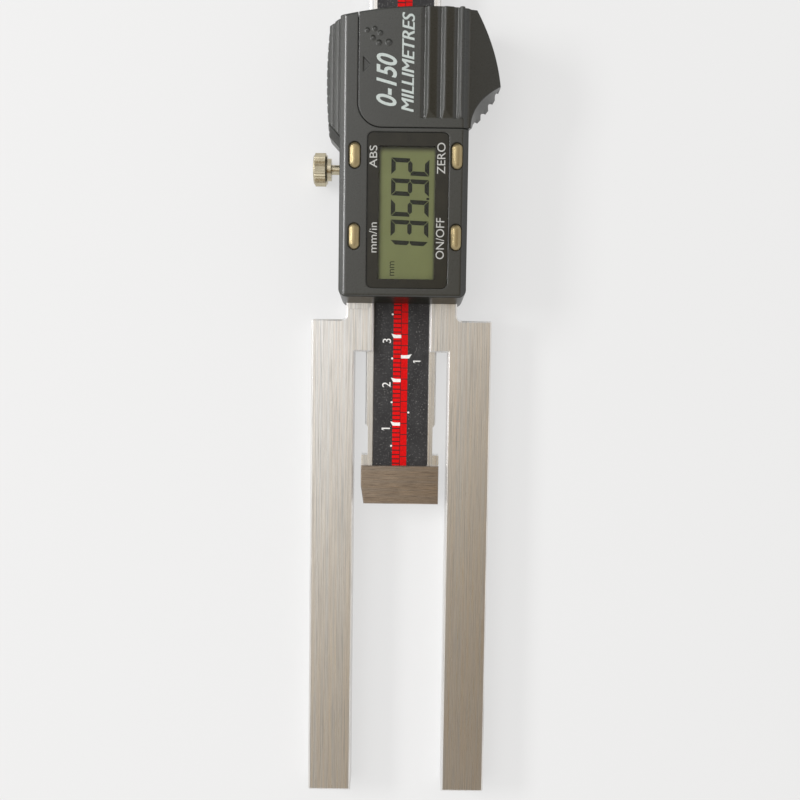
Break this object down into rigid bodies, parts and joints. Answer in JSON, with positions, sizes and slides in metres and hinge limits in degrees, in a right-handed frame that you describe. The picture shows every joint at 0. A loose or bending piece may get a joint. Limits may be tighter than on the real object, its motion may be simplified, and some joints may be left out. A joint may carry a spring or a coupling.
{
  "type": "digital caliper",
  "caption": "Digital caliper whose slider carries two long flat fork legs; a ground beam with a printed scale and a measuring foot slides between them under a display module.",
  "frame": {"origin": "on the flat back of the slider, on the beam's centreline, level with the shoulders of the two legs", "axes": "+X across the beam to the right as the display is read from the front, +Y along the beam away from the measuring foot, +Z out of the display"},
  "size_m": [0.0419, 0.3066, 0.0166],
  "materials": {
    "ground_steel": "ground",
    "beam_steel": "ground",
    "foot_steel": "cross ground",
    "stop_steel": "satin",
    "gib_brass": "satin",
    "dark_screw": "blackened",
    "small_screw": "polished",
    "housing_plastic": "fine satin",
    "display_lens": "clear with black border",
    "lcd": "satin",
    "white_plastic": "moulded",
    "elastomer": "striped",
    "green_board": "lacquered",
    "scale_laminate": "laminate",
    "scale_print": "printed film",
    "silicone": "matte",
    "seal_rubber": "matte",
    "felt": "felt",
    "battery_steel": "polished",
    "spring_brass": "bright",
    "gold_button": "polished",
    "pad_brass": "turned",
    "lock_nickel": "knurled, champagne tint"
  },
  "bodies": {
    "slider": {"slider_fork": "ground_steel", "gib_strip": "gib_brass", "gib_screws": "dark_screw", "housing": "housing_plastic", "housing_screws": "small_screw", "display_window": "display_lens", "lcd_panel": "lcd", "display_frame": "white_plastic", "contact_strip": "elastomer", "circuit_board": "green_board", "sensor_board": "green_board", "keypad_left": "silicone", "keypad_right": "silicone", "scale_wipers": "felt", "battery": "battery_steel", "contact_minus": "spring_brass", "contact_plus": "spring_brass", "battery_seal": "seal_rubber"},
    "beam": {"beam": "beam_steel", "scale_board": "scale_laminate", "scale_label": "scale_print", "measuring_foot": "foot_steel", "foot_screws": "small_screw", "end_stop": "stop_steel", "end_stop_screws": "small_screw"},
    "button_abs": {"button_abs": "gold_button"},
    "button_mm_in": {"button_mm_in": "gold_button"},
    "button_zero": {"button_zero": "gold_button"},
    "button_on_off": {"button_on_off": "gold_button"},
    "battery_cover": {"battery_cover": "housing_plastic"},
    "lock_pad": {"lock_pad": "pad_brass"},
    "lock_screw": {"lock_screw": "lock_nickel"}
  },
  "joints": [
    {"name": "beam_slide", "type": "slide", "parent": "slider", "child": "beam", "axis": [0, -1, 0], "range_m": [-0.0235, 0.1265]},
    {"name": "button_abs_press", "type": "slide", "parent": "slider", "child": "button_abs", "axis": [0, 0, -1], "range_m": [0, 0.0003], "stiffness_N_per_m": 400, "springref_m": -0.002},
    {"name": "button_mm_in_press", "type": "slide", "parent": "slider", "child": "button_mm_in", "axis": [0, 0, -1], "range_m": [0, 0.0003], "stiffness_N_per_m": 400, "springref_m": -0.002},
    {"name": "button_zero_press", "type": "slide", "parent": "slider", "child": "button_zero", "axis": [0, 0, -1], "range_m": [0, 0.0003], "stiffness_N_per_m": 400, "springref_m": -0.002},
    {"name": "button_on_off_press", "type": "slide", "parent": "slider", "child": "button_on_off", "axis": [0, 0, -1], "range_m": [0, 0.0003], "stiffness_N_per_m": 400, "springref_m": -0.002},
    {"name": "cover_slide", "type": "slide", "parent": "slider", "child": "battery_cover", "axis": [1, 0, 0], "range_m": [0, 0.024]},
    {"name": "pad_slide", "type": "slide", "parent": "slider", "child": "lock_pad", "axis": [1, 0, 0], "range_m": [0, 0.00025]},
    {"name": "lock_turn", "type": "hinge", "parent": "lock_pad", "child": "lock_screw", "pos_m": [-0.015, 0.0337, 0.0038], "axis": [1, 0, 0], "range_deg": [0, 200]}
  ],
  "couplings": [
    {"joint": "lock_turn", "follows": "pad_slide", "rad_per_m": 13963}
  ]
}
